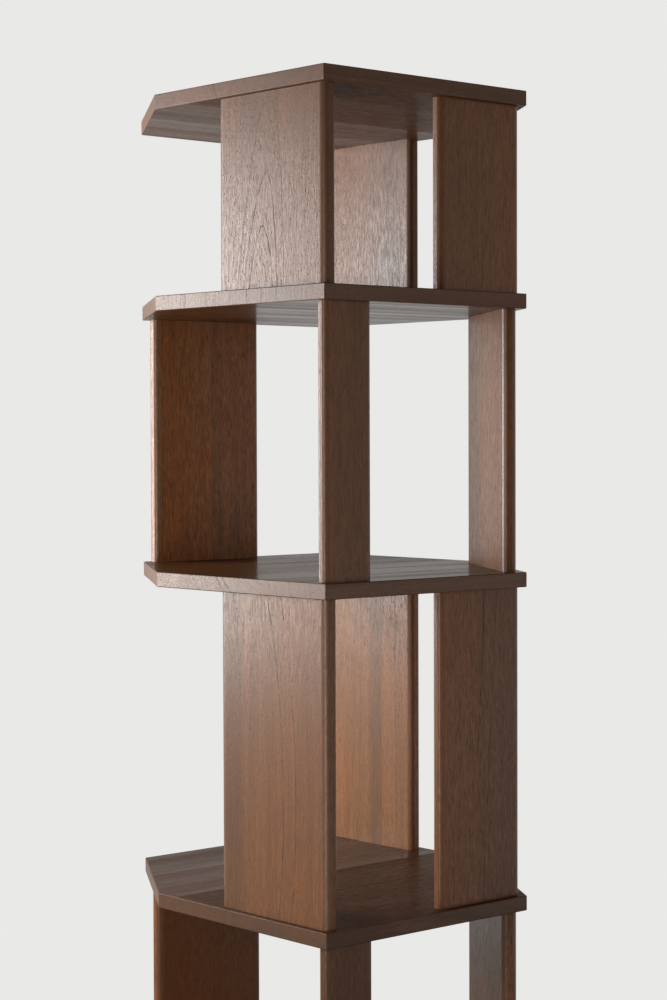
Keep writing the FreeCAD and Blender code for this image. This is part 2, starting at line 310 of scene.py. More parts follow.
class LogRings(Effect):
    """Growth rings of a log, cut open wherever the piece's surface lies.

    The distance from the log's heart, which leans along the grain and wanders a little, is counted in rings.
    Each ring darkens towards its end and stops sharply. Dark veins follow single rings: a vein's width on the
    surface is the distance from its ring, divided by how fast that distance grows along the face.

    Attributes:
        sways: Noises that bend the rings, from slow to fine: their cycles for each metre across, through and
            along the grain, and how far they move the rings from end to end.
        width_pace: Cycles, for each ring, of the noise that makes rings wider and narrower.
        width_reach: How many rings that noise moves the count by.
        width_step: How far that noise moves for each step of a log's seed.
        ring_step: How far the rings' chances move for each step of a log's seed.
        rarity: Power that makes strong rings rare.
        ring_strength: A ring's late wood, by its chance.
        darkening: How late wood comes in through a ring.
        ring_end: How late wood stops at the end of a ring.
        early_end: How early wood goes out through a ring.
        least_growth: The least that the distance is taken to grow along a face.
        vein_side: How a vein goes out to its sides, in metres.
        faint_vein: Strength of the third vein.
        break_pace: Cycles for each metre of the noise that breaks veins up.
        vein_breaks: How much of a vein is left, by that noise.
    """

    name = "log rings"
    takes = dict.fromkeys(("Grain", "Heart", "Lean", "Veins"), SocketKind.VECTOR)
    gives = ("Late Wood", "Vein", "Early Wood")
    stride = (3.1, 7.7, 5.3)
    sways = (((5.0, 5.0, 2.2), 0.010), ((60.0, 60.0, 14.0), 0.0024), ((260.0, 260.0, 45.0), 0.0016))
    width_pace = 0.45
    width_reach = 2.4
    width_step = 37.0
    ring_step = 91.0
    rarity = 1.6
    ring_strength = Ramp(0.0, 1.0, 0.35, 1.0)
    darkening = Ramp(0.25, 0.92)
    ring_end = Ramp(0.94, 1.0, 1.0, 0.0)
    early_end = Ramp(0.05, 0.55, 1.0, 0.0)
    least_growth = 0.05
    vein_side = Ramp(0.0003, 0.0014, 1.0, 0.0)
    faint_vein = 0.5
    break_pace = (60.0, 60.0, 32.0)
    vein_breaks = Ramp(0.38, 0.58, 0.25, 1.0)

    def fill(self, graph: NodeGraph, taken: bpy.types.NodeOutputs) -> dict[str, Socket]:
        """Adds the rings' nodes: see the class for the formula.

        Args:
            graph: The group's tree.
            taken: The group's inputs, by name.

        Returns:
            The socket of each output, by name.
        """
        grain = taken["Grain"]
        across, depth, along = graph.parts(grain)
        heart_across, heart_depth, seed = graph.parts(taken["Heart"])
        lean_across, lean_depth, ring_width = graph.parts(taken["Lean"])
        sways = [self.sway(graph, grain, seed, *sway) for sway in self.sways]
        drift_across, drift_depth, _ = graph.parts(reduce(partial(graph.vector, "ADD"), sways))
        aside = self.offset(graph, across, heart_across, lean_across, along, drift_across)
        behind = self.offset(graph, depth, heart_depth, lean_depth, along, drift_depth)
        squares = graph.total(graph.product(aside, aside), graph.product(behind, behind))
        radius = graph.math("SQRT", squares)

        count = graph.math("DIVIDE", radius, ring_width)
        turn = graph.math("MULTIPLY_ADD", seed, self.width_step, count)
        feeds = {"W": turn, "Scale": self.width_pace, "Detail": 1.0}
        widths = graph.node("ShaderNodeTexNoise", feeds, noise_dimensions="1D")
        uneven = graph.math("MULTIPLY_ADD", widths.outputs[0], self.width_reach, count)
        phase = graph.math("FRACT", uneven)
        number = graph.total(graph.math("FLOOR", uneven), graph.product(seed, self.ring_step))
        chance = graph.node("ShaderNodeTexWhiteNoise", {"W": number}, noise_dimensions="1D").outputs["Value"]
        strength = graph.ease(graph.math("POWER", chance, self.rarity), self.ring_strength)
        rise = graph.product(graph.ease(phase, self.darkening), graph.ease(phase, self.ring_end))

        climb = graph.total(graph.product(lean_across, aside), graph.product(lean_depth, behind))
        growth = graph.math("DIVIDE", graph.measure("LENGTH", graph.whole(aside, climb, 0.0)), radius)
        growth = graph.largest(growth, self.least_growth)
        gaps = graph.vector("SUBTRACT", graph.whole(radius, radius, radius), taken["Veins"])
        first, second, third = (
            graph.ease(graph.math("DIVIDE", gap, growth), self.vein_side)
            for gap in graph.parts(graph.vector("ABSOLUTE", gaps))
        )
        lines = graph.largest(first, second, graph.product(third, self.faint_vein))
        breaks = graph.noise(graph.vector("MULTIPLY", grain, self.break_pace), roughness=0.6)[0]
        return {
            "Late Wood": graph.product(rise, strength),
            "Vein": graph.product(lines, graph.ease(breaks, self.vein_breaks)),
            "Early Wood": graph.ease(phase, self.early_end),
        }

    def sway(self, graph: NodeGraph, grain: Socket, seed: Socket, pace: Triple, reach: float) -> Socket:
        """Noise about zero that bends the rings.

        Args:
            graph: The group's tree.
            grain: The place in the wood.
            seed: The log's seed.
            pace: Cycles of the noise for each metre across, through and along the grain.
            reach: How far it moves the rings, in metres from end to end.

        Returns:
            The offset's socket.
        """
        cloud = graph.noise(self.drawn_out(graph, grain, pace, seed), detail=1.0)["Color"]
        centred = graph.vector("SUBTRACT", cloud, (NOISE_MIDDLE,) * 3)
        return graph.vector("MULTIPLY", centred, (reach, reach, reach))

    @staticmethod
    def offset(
        graph: NodeGraph, here: Socket, heart: Socket, lean: Socket, along: Socket, drift: Socket,
    ) -> Socket:
        """How far a place lies from the leaning heart in one direction, with the rings' drift added."""
        straight = graph.minus(graph.minus(here, heart), graph.product(lean, along))
        return graph.total(straight, drift)


class Fibres(Effect):
    """Noise drawn out along the grain: fibres, short figure, streaks of colour, slow waves and broad bands.

    Attributes:
        paces: Cycles of each noise for each metre across, through and along the grain.
    """

    name = "wood fibres"
    takes = {"Grain": SocketKind.VECTOR, "Seed": SocketKind.NUMBER}
    paces = {
        "Fibre": (560.0, 560.0, 80.0), "Figure": (280.0, 280.0, 38.0), "Streak": (95.0, 95.0, 2.6),
        "Wave": (28.0, 28.0, 1.5), "Band": (8.0, 8.0, 1.6),
    }
    gives = tuple(paces)
    stride = (11.3, 4.9, 8.1)

    def fill(self, graph: NodeGraph, taken: bpy.types.NodeOutputs) -> dict[str, Socket]:
        """Adds one drawn-out noise for each width.

        Args:
            graph: The group's tree.
            taken: The group's inputs, by name.

        Returns:
            The socket of each output, by name.
        """
        places = {
            title: self.drawn_out(graph, taken["Grain"], pace, taken["Seed"])
            for title, pace in self.paces.items()
        }
        return {title: graph.noise(place, roughness=0.6)[0] for title, place in places.items()}


class Pores(Effect):
    """Short dark flecks along the grain, where open vessels were cut, with paler ridges between them.

    Both come from cells that are drawn out along the grain: their middles, more or less deep, are the flecks,
    and their borders are the ridges.

    Attributes:
        pace: Cells for each metre across, through and along the grain.
        early_share: How likely a fleck is, by the early wood.
        depth: How deep a fleck is, by its chance.
        middle: How a fleck goes out from the middle of its cell.
        border: How a ridge comes in towards the border of a cell.
    """

    name = "open pores"
    takes = {
        "Grain": SocketKind.VECTOR, "Seed": SocketKind.NUMBER, "Early Wood": SocketKind.NUMBER,
        "Density": SocketKind.NUMBER,
    }
    gives = ("Fleck", "Ridge")
    stride = (2.9, 9.1, 6.7)
    pace = (580.0, 580.0, 200.0)
    early_share = Ramp(0.0, 1.0, 0.45, 1.0)
    depth = Ramp(0.10, 0.70)
    middle = Ramp(0.18, 0.50, 1.0, 0.0)
    border = Ramp(0.42, 0.80)

    def fill(self, graph: NodeGraph, taken: bpy.types.NodeOutputs) -> dict[str, Socket]:
        """Adds the cells, their flecks and their ridges.

        Args:
            graph: The group's tree.
            taken: The group's inputs, by name.

        Returns:
            The socket of each output, by name.
        """
        place = self.drawn_out(graph, taken["Grain"], self.pace, taken["Seed"])
        cells = graph.node("ShaderNodeTexVoronoi", {"Vector": place, "Scale": 1.0, "Randomness": 1.0}).outputs
        early = graph.ease(taken["Early Wood"], self.early_share)
        chance = graph.product(early, graph.parts(cells["Color"])[0])
        fleck = graph.product(graph.ease(cells["Distance"], self.middle), graph.ease(chance, self.depth))
        ridge = graph.ease(cells["Distance"], self.border)
        return {
            "Fleck": graph.product(fleck, taken["Density"]),
            "Ridge": graph.product(ridge, taken["Density"]),
        }


@dataclass
class Effects:
    """The node groups that the finishes share, each built once."""

    rings: bpy.types.NodeTree = field(default_factory=lambda: LogRings().build())
    fibres: bpy.types.NodeTree = field(default_factory=lambda: Fibres().build())
    pores: bpy.types.NodeTree = field(default_factory=lambda: Pores().build())


# Finishes

@dataclass(frozen=True)
class TeakFinish:
    """Brown-tinted teak under a satin lacquer.

    Attributes:
        name: The material's name.
        middle: Colour of the plain wood.
        pale: Colour of the palest streaks.
        dark: Colour of late wood and of the darkest streaks.
        line: Colour of the dark veins and open pores.
        stained: Colour that stained bands lean to.
        grey: Colour that grey bands lean to.
        orange: Colour that warm bands lean to.
        round_shade: Colour that rounded edges lean to, as painted shade on the rounds.
        pale_streaks: Share of the pale colour, by the streaks.
        dark_streaks: Share of the dark colour, by the streaks.
        grey_bands: Share of the grey, by the bands and the plank's warmth.
        orange_bands: Share of the orange, by the bands and the plank's warmth.
        stain_sides: How a stained band goes out, in its half widths.
        stain_streaks: How the streaks break up a stained band.
        round_shade_streaks: How the streaks break up the painted shade on rounded edges.
        fibre_share: Strength of the fibres.
        sparse_fibres: How much of that is left, by how open the grain is.
        figure_share: Strength of the short figure.
        late_share: Strength of the late wood.
        line_share: Strength of the veins.
        broken_veins: How the fibres break up the veins.
        pore_share: Strength of the pores.
        ridge_share: How much paler the ridges between pores are.
        round_shade_share: Strength of the painted shade on rounded edges.
        gloss: Roughness of the oiled wood, by the fibres.
        figure_gloss: How much smoother the short figure makes it.
        open_gloss: How much rougher open grain makes it.
        burnish: How much smoother, or duller if negative, the rounded edges are rubbed.
        ring_relief: How far the rings stand open, as they do in end grain.
        shine: Strength of the oiled wood's own reflections.
        lacquer: Strength of the thin lacquer over it.
        lacquer_waves: How the lacquer's strength varies, by the waves.
        edge_lacquer: Strength of the lacquer that gathers on rounded edges.
        lacquer_gloss: Roughness of the lacquer.
        relief: Depth of the grain under the lacquer, in metres.
        open_depth: How far open grain lies below the fibres, against their own height.
        depth: How bright the stain leaves the wood, against the colours above. On the boards' faces it is
            lowered below their edges' as painted shade.
    """

    name: str
    middle: Colour = srgb(122, 78, 44)
    pale: Colour = srgb(140, 92, 54)
    dark: Colour = srgb(96, 58, 32)
    line: Colour = srgb(58, 36, 24)
    stained: Colour = srgb(88, 60, 38)
    grey: Colour = srgb(108, 76, 50)
    orange: Colour = srgb(132, 78, 36)
    # Darker colour that the rounded edges lean to: painted shade on the rounds.
    round_shade: Colour = srgb(86, 50, 24)
    pale_streaks: Ramp = Ramp(0.36, 0.66, 0.0, 0.42)
    dark_streaks: Ramp = Ramp(0.30, 0.45, 0.28, 0.0)
    grey_bands: Ramp = Ramp(0.30, 0.52, 0.6, 0.0)
    orange_bands: Ramp = Ramp(0.50, 0.72, 0.0, 0.6)
    stain_sides: Ramp = Ramp(0.3, 1.0, 1.0, 0.0)
    stain_streaks: Ramp = Ramp(0.30, 0.65, 0.45, 1.0)
    round_shade_streaks: Ramp = Ramp(0.40, 0.62, 0.7, 1.0)
    fibre_share: float = 2.0
    sparse_fibres: Ramp = Ramp(0.0, 1.0, 1.0, 0.3)
    figure_share: float = 0.8
    late_share: float = 0.30
    line_share: float = 0.85
    broken_veins: Ramp = Ramp(0.32, 0.56, 0.60, 1.0)
    pore_share: float = 0.65
    ridge_share: float = 0.14
    round_shade_share: float = 0.40
    gloss: Ramp = Ramp(0.30, 0.70, 0.44, 0.30)
    figure_gloss: float = 0.3
    open_gloss: float = 0.28
    burnish: float = -0.05
    ring_relief: float = 0.0
    shine: float = 0.5
    lacquer: float = 0.0
    lacquer_waves: Ramp = Ramp(0.32, 0.68, 0.60, 1.40)
    edge_lacquer: float = 0.0
    lacquer_gloss: float = 0.16
    relief: float = 0.0003
    open_depth: float = 1.1
    depth: float = 1.0

    def build(self, effects: Effects) -> bpy.types.Material:
        """Makes the material.

        Args:
            effects: The shared node groups.

        Returns:
            The finished material.
        """
        material = bpy.data.materials.new(self.name)
        graph = NodeGraph.fresh(material)
        grain, heart, lean, veins = (graph.attribute(name) for name in ("grain", "heart", "lean", "veins"))
        tone, warmth, stain = graph.parts(graph.attribute("tint"))
        stain_across, stain_width, density = graph.parts(graph.attribute("stain"))
        edge, film = (graph.attribute(name, "Fac") for name in ("edge", "film"))
        seed = graph.parts(heart)[2]
        rings = graph.use(effects.rings, {"Grain": grain, "Heart": heart, "Lean": lean, "Veins": veins})
        fibres = graph.use(effects.fibres, {"Grain": grain, "Seed": seed})
        pores = graph.use(effects.pores, {
            "Grain": grain, "Seed": seed, "Early Wood": rings["Early Wood"], "Density": density,
        })
        figure = graph.product(graph.minus(fibres["Figure"], NOISE_MIDDLE), self.figure_share)
        vein = graph.product(rings["Vein"], graph.ease(fibres["Fibre"], self.broken_veins))
        open_rings = graph.product(rings["Late Wood"], self.ring_relief)
        open_grain = graph.largest(pores["Fleck"], vein, open_rings)

        colour = graph.mix(graph.ease(fibres["Streak"], self.pale_streaks), self.middle, self.pale)
        colour = graph.mix(graph.ease(fibres["Streak"], self.dark_streaks), colour, self.dark)
        band = graph.total(fibres["Band"], warmth)
        colour = graph.mix(graph.ease(band, self.grey_bands), colour, self.grey)
        colour = graph.mix(graph.ease(band, self.orange_bands), colour, self.orange)
        colour = graph.mix(graph.product(rings["Late Wood"], self.late_share), colour, self.dark)
        aside = graph.math("ABSOLUTE", graph.minus(graph.parts(grain)[0], stain_across))
        stained = graph.ease(graph.math("DIVIDE", aside, stain_width), self.stain_sides)
        stained = graph.product(stained, graph.ease(fibres["Streak"], self.stain_streaks), stain)
        colour = graph.mix(stained, colour, self.stained)
        sparse = graph.product(graph.ease(density, self.sparse_fibres), self.fibre_share)
        fine = graph.product(graph.minus(fibres["Fibre"], NOISE_MIDDLE), sparse)
        fine = graph.total(fine, 1.0, graph.product(pores["Ridge"], self.ridge_share), figure)
        colour = graph.shade(colour, fine)
        colour = graph.mix(graph.product(vein, self.line_share), colour, self.line)
        colour = graph.mix(graph.product(pores["Fleck"], self.pore_share), colour, self.line)
        # Rounded edges lean darker, broken up by the streaks: painted shade on the rounds.
        shaded_round = graph.product(edge, graph.ease(fibres["Streak"], self.round_shade_streaks), self.round_shade_share)
        colour = graph.mix(shaded_round, colour, self.round_shade)
        # The plank's tone and the finish's depth set its brightness; the boards' faces are darkened here as
        # painted shade.
        colour = graph.shade(colour, graph.product(graph.total(tone, 1.0), self.depth))

        rough = graph.minus(graph.ease(fibres["Fibre"], self.gloss), graph.product(edge, self.burnish))
        rough = graph.minus(rough, graph.product(figure, self.figure_gloss))
        rough = graph.total(rough, graph.product(open_grain, self.open_gloss))
        height = graph.minus(fibres["Fibre"], graph.product(open_grain, self.open_depth))
        height = graph.total(height, figure)
        coat = graph.product(graph.ease(fibres["Wave"], self.lacquer_waves), self.lacquer)
        coat = graph.total(coat, graph.product(edge, self.edge_lacquer))
        graph.cover({
            "Base Color": colour, "Roughness": rough,
            "Normal": graph.bump(height, strength=0.45, distance=self.relief),
            "IOR": 1.45, "Specular IOR Level": self.shine,
            "Coat Weight": graph.product(coat, film), "Coat Roughness": self.lacquer_gloss,
        })
        return material


@dataclass(frozen=True)
class BeechFinish:
    """Plain turned beech, for the dowels.

    Attributes:
        name: The material's name.
        middle: Colour of the plain wood.
        dark: Colour of late wood and flecks.
        heart: Where the log's heart lies, and the log's seed.
        lean: How the heart leans, and the ring width.
        late_share: Strength of the late wood, by the fibres.
        gloss: Roughness, by the streaks.
        relief: Depth of the grain, in metres.
    """

    name: str
    middle: Colour = srgb(206, 170, 128)
    dark: Colour = srgb(160, 118, 82)
    heart: Triple = (0.05, -0.32, 0.4)
    lean: Triple = (0.01, 0.02, 0.0024)
    late_share: Ramp = Ramp(0.3, 0.7, 0.3, 0.8)
    gloss: Ramp = Ramp(0.3, 0.7, 0.55, 0.7)
    relief: float = 0.0002

    def build(self, effects: Effects) -> bpy.types.Material:
        """Makes the material.

        Args:
            effects: The shared node groups.

        Returns:
            The finished material.
        """
        material = bpy.data.materials.new(self.name)
        graph = NodeGraph.fresh(material)
        place = graph.node("ShaderNodeTexCoord").outputs["Object"]
        rings = graph.use(effects.rings, {"Grain": place, "Heart": self.heart, "Lean": self.lean})
        fibres = graph.use(effects.fibres, {"Grain": place, "Seed": self.heart[2]})
        share = graph.product(rings["Late Wood"], graph.ease(fibres["Fibre"], self.late_share))
        graph.cover({
            "Base Color": graph.mix(share, self.middle, self.dark),
            "Roughness": graph.ease(fibres["Streak"], self.gloss),
            "Normal": graph.bump(fibres["Fibre"], strength=0.3, distance=self.relief),
        })
        return material


@dataclass(frozen=True)
class FeltFinish:
    """Pressed wool felt, for the discs under the foot.

    Attributes:
        name: The material's name.
        middle: Colour of the felt.
        pale: Colour of its lighter hairs.
        hair_pace: Cycles of the hairs for each metre.
        clump_pace: Cycles of the clumps for each metre.
        tips: How the lighter hairs stand out.
        clumps: How the clumps hold them back.
        relief: Depth of the hairs, in metres.
    """

    name: str
    middle: Colour = srgb(84, 76, 70)
    pale: Colour = srgb(128, 118, 108)
    hair_pace: Triple = (1400.0, 1400.0, 2600.0)
    clump_pace: Triple = (180.0, 180.0, 180.0)
    tips: Ramp = Ramp(0.45, 0.72)
    clumps: Ramp = Ramp(0.3, 0.7, 0.4, 1.0)
    relief: float = 0.0006

    def build(self) -> bpy.types.Material:
        """Makes the material.

        Returns:
            The finished material.
        """
        material = bpy.data.materials.new(self.name)
        graph = NodeGraph.fresh(material)
        place = graph.node("ShaderNodeTexCoord").outputs["Object"]
        hairs = graph.noise(graph.vector("MULTIPLY", place, self.hair_pace), detail=4.0, roughness=0.7)[0]
        clumps = graph.noise(graph.vector("MULTIPLY", place, self.clump_pace))[0]
        share = graph.product(graph.ease(hairs, self.tips), graph.ease(clumps, self.clumps))
        graph.cover({
            "Base Color": graph.mix(share, self.middle, self.pale),
            "Normal": graph.bump(hairs, strength=0.8, distance=self.relief),
            "Roughness": 0.95, "Sheen Weight": 0.4, "Sheen Roughness": 0.5,
        })
        return material


# Wood

@dataclass(frozen=True)
class Stave:
    """One plank of a glued-up piece, and the log that it was sawn from.

    Attributes:
        share: Its part of the piece's width, against the other staves.
        heart: Where the log's heart lies, across the piece and in depth, from the piece's middle.
        lean: How far the heart moves, across and in depth, for each metre along the grain.
        ring: Mean width of a growth ring.
        tone: How much lighter, or darker if negative, the plank is.
        warmth: How much more orange, or greyer if negative, the plank is.
        seed: Sets the plank's own noise.
        veins: Distances from the heart of the rings that end in a dark vein.
        stain: Middle across, half width and strength of a stained band along the grain.
        pores: How open the grain is, 0 to 1.
        film: How thick the lacquer lies on it, against the piece's other staves.
    """

    share: float
    heart: Pair
    lean: Pair
    ring: float
    tone: float = 0.0
    warmth: float = 0.0
    seed: float = 0.0
    veins: Triple = (0.0, 0.0, 0.0)
    stain: Triple = (0.0, 0.03, 0.0)
    pores: float = 0.5
    film: float = 1.0


@dataclass
class Outline:
    """A closed outline in plan with rounded corners, counter-clockwise.

    Attributes:
        points: The outline's points, n by 2.
        normals: The outward direction at each point, n by 2.
        bends: How far into a rounded corner each point lies, 1 at its middle and 0 on straight sides.
    """

    points: np.ndarray
    normals: np.ndarray
    bends: np.ndarray

    @classmethod
    def rounded(
        cls, corners: np.ndarray, radius: float, steps: int, across: np.ndarray, seams: np.ndarray,
    ) -> "Outline":
        """Rounds a convex polygon's corners, and adds a point wherever a glue seam meets a straight side.

        A corner's arc has its middle at the corner moved in along both sides' normals by the radius, and runs
        from one side's normal to the next.

        Args:
            corners: The polygon's corners, counter-clockwise, n by 2.
            radius: Radius of the rounded corners.
            steps: Straight runs in each rounded corner.
            across: Direction in which the seams are counted.
            seams: Place of each seam in that direction.

        Returns:
            The outline.
        """
        runs = np.roll(corners, -1, axis=0) - corners
        runs /= np.linalg.norm(runs, axis=1, keepdims=True)
        sides = np.stack((runs[:, 1], -runs[:, 0]), axis=1)
        before = np.roll(sides, 1, axis=0)
        closing = 1.0 + np.sum(before * sides, axis=1, keepdims=True)
        middles = corners - radius * (before + sides) / closing
        first = np.arctan2(before[:, 1], before[:, 0])
        turn = np.mod(np.arctan2(sides[:, 1], sides[:, 0]) - first, 2.0 * math.pi)
        share = np.linspace(0.0, 1.0, steps + 1)
        angles = first[:, None] + turn[:, None] * share
        facing = np.stack((np.cos(angles), np.sin(angles)), axis=2)
        arcs = middles[:, None, :] + radius * facing
        points, normals, bends = [], [], []
        for corner in range(len(corners)):
            start, end = arcs[corner, -1], arcs[(corner + 1) % len(corners), 0]
            low, high = start @ across, end @ across
            inside = seams[(seams - low) * (seams - high) < 0.0]
            inside = inside if high > low else inside[::-1]
            steps_along = ((inside - low) / (high - low))[:, None] if len(inside) else np.zeros((0, 1))
            points += [arcs[corner], start + (end - start) * steps_along]
            normals += [facing[corner], np.repeat(sides[corner][None], len(inside), axis=0)]
            bends += [np.sin(math.pi * share), np.zeros(len(inside))]
        return cls(np.concatenate(points), np.concatenate(normals), np.concatenate(bends))


@dataclass
class Profile:
    """The rows that carry an outline from the top of a piece to its underside.

    Attributes:
        insets: How far each row lies inside the outline.
        heights: Height of each row.
        tilts: Angle of each row's outward normal above the horizon.
    """

    insets: np.ndarray
    heights: np.ndarray
    tilts: np.ndarray

    @classmethod
    def eased(cls, low: float, high: float, radius: float, steps: int) -> "Profile":
        """Rows of an edge with a small round at top and bottom: inset r(1 - cos), height drop r(1 - sin).

        Args:
            low: Height of the underside.
            high: Height of the top.
            radius: Radius of the rounds.
            steps: Straight runs in each round.

        Returns:
            The rows, from the top down.
        """
        tilts = np.linspace(math.pi / 2.0, 0.0, steps + 1)
        inset, drop = radius * (1.0 - np.cos(tilts)), radius * (1.0 - np.sin(tilts))
        return cls(
            np.concatenate((inset, inset[::-1])),
            np.concatenate((high - drop, low + drop[::-1])),
            np.concatenate((tilts, -tilts[::-1])),
        )

    @classmethod
    def square(cls, low: float, high: float) -> "Profile":
        """Two rows, for a piece whose ends are cut square."""
        return cls(np.zeros(2), np.array([high, low]), np.zeros(2))

    def carry(self, outline: Outline) -> tuple[np.ndarray, np.ndarray, np.ndarray]:
        """Carries an outline through the rows.

        Row j of the surface is the outline moved in by that row's inset, at that row's height. Its normal
        is the outline's own, tilted by the row's angle. A point lies as far into a rounded edge as the
        outline's bend or the sine of twice the row's angle says, whichever is more.

        Args:
            outline: What is carried.

        Returns:
            The place and the normal of each point, row after row, and how far into a rounded edge it lies.
        """
        count = len(outline.points)
        plan = outline.points[None] - self.insets[:, None, None] * outline.normals[None]
        heights = np.repeat(self.heights[:, None, None], count, axis=1)
        level = np.cos(self.tilts)[:, None, None] * outline.normals[None]
        rise = np.repeat(np.sin(self.tilts)[:, None, None], count, axis=1)
        bends = np.maximum(outline.bends[None], np.abs(np.sin(2.0 * self.tilts))[:, None])
        return (
            np.concatenate((plan, heights), axis=2).reshape(-1, 3),
            np.concatenate((level, rise), axis=2).reshape(-1, 3),
            bends.ravel(),
        )


def rows_to_faces(rows: int, count: int) -> np.ndarray:
    """Joins rows of points that close on themselves, each row listed after the one above it.

    Args:
        rows: How many rows there are.
        count: How many points a row has.

    Returns:
        The four points of each face, n by 4.
    """
    numbers = np.arange(rows * count).reshape(rows, count)
    following = np.roll(numbers, -1, axis=1)
    return np.stack((numbers[:-1], numbers[1:], following[1:], following[:-1]), axis=2).reshape(-1, 4)


def add_piece(mesh: bpy.types.Mesh, node: str) -> bpy.types.Object:
    """Puts a finished mesh into the scene, under the mesh's own name.

    Args:
        mesh: The mesh, in the frame's axes.
        node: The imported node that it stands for.

    Returns:
        The finished piece.
    """
    made = bpy.data.objects.new(mesh.name, mesh)
    bpy.context.scene.collection.objects.link(made)
    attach(made, BODY)
    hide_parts(node)
    return made


@dataclass
class GluedPiece:
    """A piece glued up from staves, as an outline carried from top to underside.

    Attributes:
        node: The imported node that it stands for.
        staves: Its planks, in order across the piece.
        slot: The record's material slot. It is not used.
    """

    node: str
    staves: Sequence[Stave]
    slot: str

    def axes(self) -> np.ndarray:
        """Directions across, through and along the grain, as the rows of a matrix."""
        raise NotImplementedError

    def span(self) -> Pair:
        """Lowest and highest place across the grain, from the piece's middle."""
        raise NotImplementedError

    def skin(self, seams: np.ndarray) -> tuple[Outline, Profile]:
        """The piece's outline and rows.

        Args:
            seams: Place of each glue seam across the grain, in the frame's axes.

        Returns:
            The outline and the rows that carry it.
        """
        raise NotImplementedError

    def middle(self) -> np.ndarray:
        """Middle of the node's box."""
        low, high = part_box(self.node)
        return (np.array(low) + np.array(high)) / 2.0

    def seams(self) -> np.ndarray:
        """Places where staves meet, across the grain from the piece's middle.

        Returns:
            One place for each seam.
        """
        shares = np.cumsum([stave.share for stave in self.staves])
        low, high = self.span()
        return low + (high - low) * shares[:-1] / shares[-1]

    def build(
        self, material: bpy.types.Material, edging: Optional[bpy.types.Material] = None,
    ) -> bpy.types.Object:
        """Makes the mesh, with its grain as attributes, and dresses it.

        The outline carried through the rows is closed at both ends with one flat face for each stave.

        Args:
            material: The piece's finish.
            edging: The finish of its edges, where that differs.

        Returns:
            The finished piece.
        """
        axes, middle, seams = self.axes(), self.middle(), self.seams()
        outline, profile = self.skin(seams + axes[0] @ middle)
        places, normals, bends = profile.carry(outline)
        rows, count = len(profile.heights), len(outline.points)
        quads = rows_to_faces(rows, count)
        tops = self.ends(outline.points @ axes[0][:2] - axes[0] @ middle)
        undersides = [end[::-1] + (rows - 1) * count for end in tops]

        mesh = bpy.data.meshes.new(self.node + "_wood")
        mesh.from_pydata(places.tolist(), [], quads.tolist() + [end.tolist() for end in tops + undersides])
        mesh.shade_smooth()
        corners = np.zeros(len(mesh.loops), dtype=np.int32)
        mesh.loops.foreach_get("vertex_index", corners)
        facing = normals[corners]
        capped = sum(len(end) for end in tops)
        facing[-2 * capped:-capped] = (0.0, 0.0, 1.0)
        facing[-capped:] = (0.0, 0.0, -1.0)
        mesh.normals_split_custom_set(facing.tolist())

        grain = (places - middle) @ axes.T
        inside = np.searchsorted(seams, grain[quads][:, :, 0].mean(axis=1))
        order = np.arange(len(tops))
        self.mark(mesh, grain, bends, np.concatenate((inside, order, order)))
        mesh.materials.append(material)
        if edging is not None:
            mesh.materials.append(edging)
            mesh.polygons.foreach_set("material_index", np.repeat([1, 0], [len(quads), 2 * len(tops)]))
        return add_piece(mesh, self.node)

    def ends(self, crossing: np.ndarray) -> list[np.ndarray]:
        """Sorts an outline's points by stave. Points on a seam belong to both of its staves.

        Args:
            crossing: Place of each point across the grain, from the piece's middle.

        Returns:
            The numbers of each stave's points, in the outline's order.
        """
        limits = np.concatenate(([-np.inf], self.seams(), [np.inf]))
        return [
            np.flatnonzero((crossing >= low - SEAM_SLACK) & (crossing <= high + SEAM_SLACK))
            for low, high in zip(limits[:-1], limits[1:])
        ]

    def mark(self, mesh: bpy.types.Mesh, grain: np.ndarray, bends: np.ndarray, members: np.ndarray) -> None:
        """Writes the grain's place, the edges and each face's stave to the mesh.

        Args:
            mesh: The piece's mesh.
            grain: Place across, through and along the grain at each vertex.
            bends: How far into a rounded edge each vertex lies.
            members: Which stave each face belongs to.
        """
        mesh.attributes.new("grain", "FLOAT_VECTOR", "POINT").data.foreach_set("vector", grain.ravel())
        mesh.attributes.new("edge", "FLOAT", "POINT").data.foreach_set("value", bends)
        films = np.array([stave.film for stave in self.staves])[members]
        mesh.attributes.new("film", "FLOAT", "FACE").data.foreach_set("value", films)
        tables = {
            "heart": [(*stave.heart, stave.seed) for stave in self.staves],
            "lean": [(*stave.lean, stave.ring) for stave in self.staves],
            "tint": [(stave.tone, stave.warmth, stave.stain[2]) for stave in self.staves],
            "stain": [(*stave.stain[:2], stave.pores) for stave in self.staves],
            "veins": [stave.veins for stave in self.staves],
        }
        for name, rows in tables.items():
            values = np.array(rows)[members]
            mesh.attributes.new(name, "FLOAT_VECTOR", "FACE").data.foreach_set("vector", values.ravel())


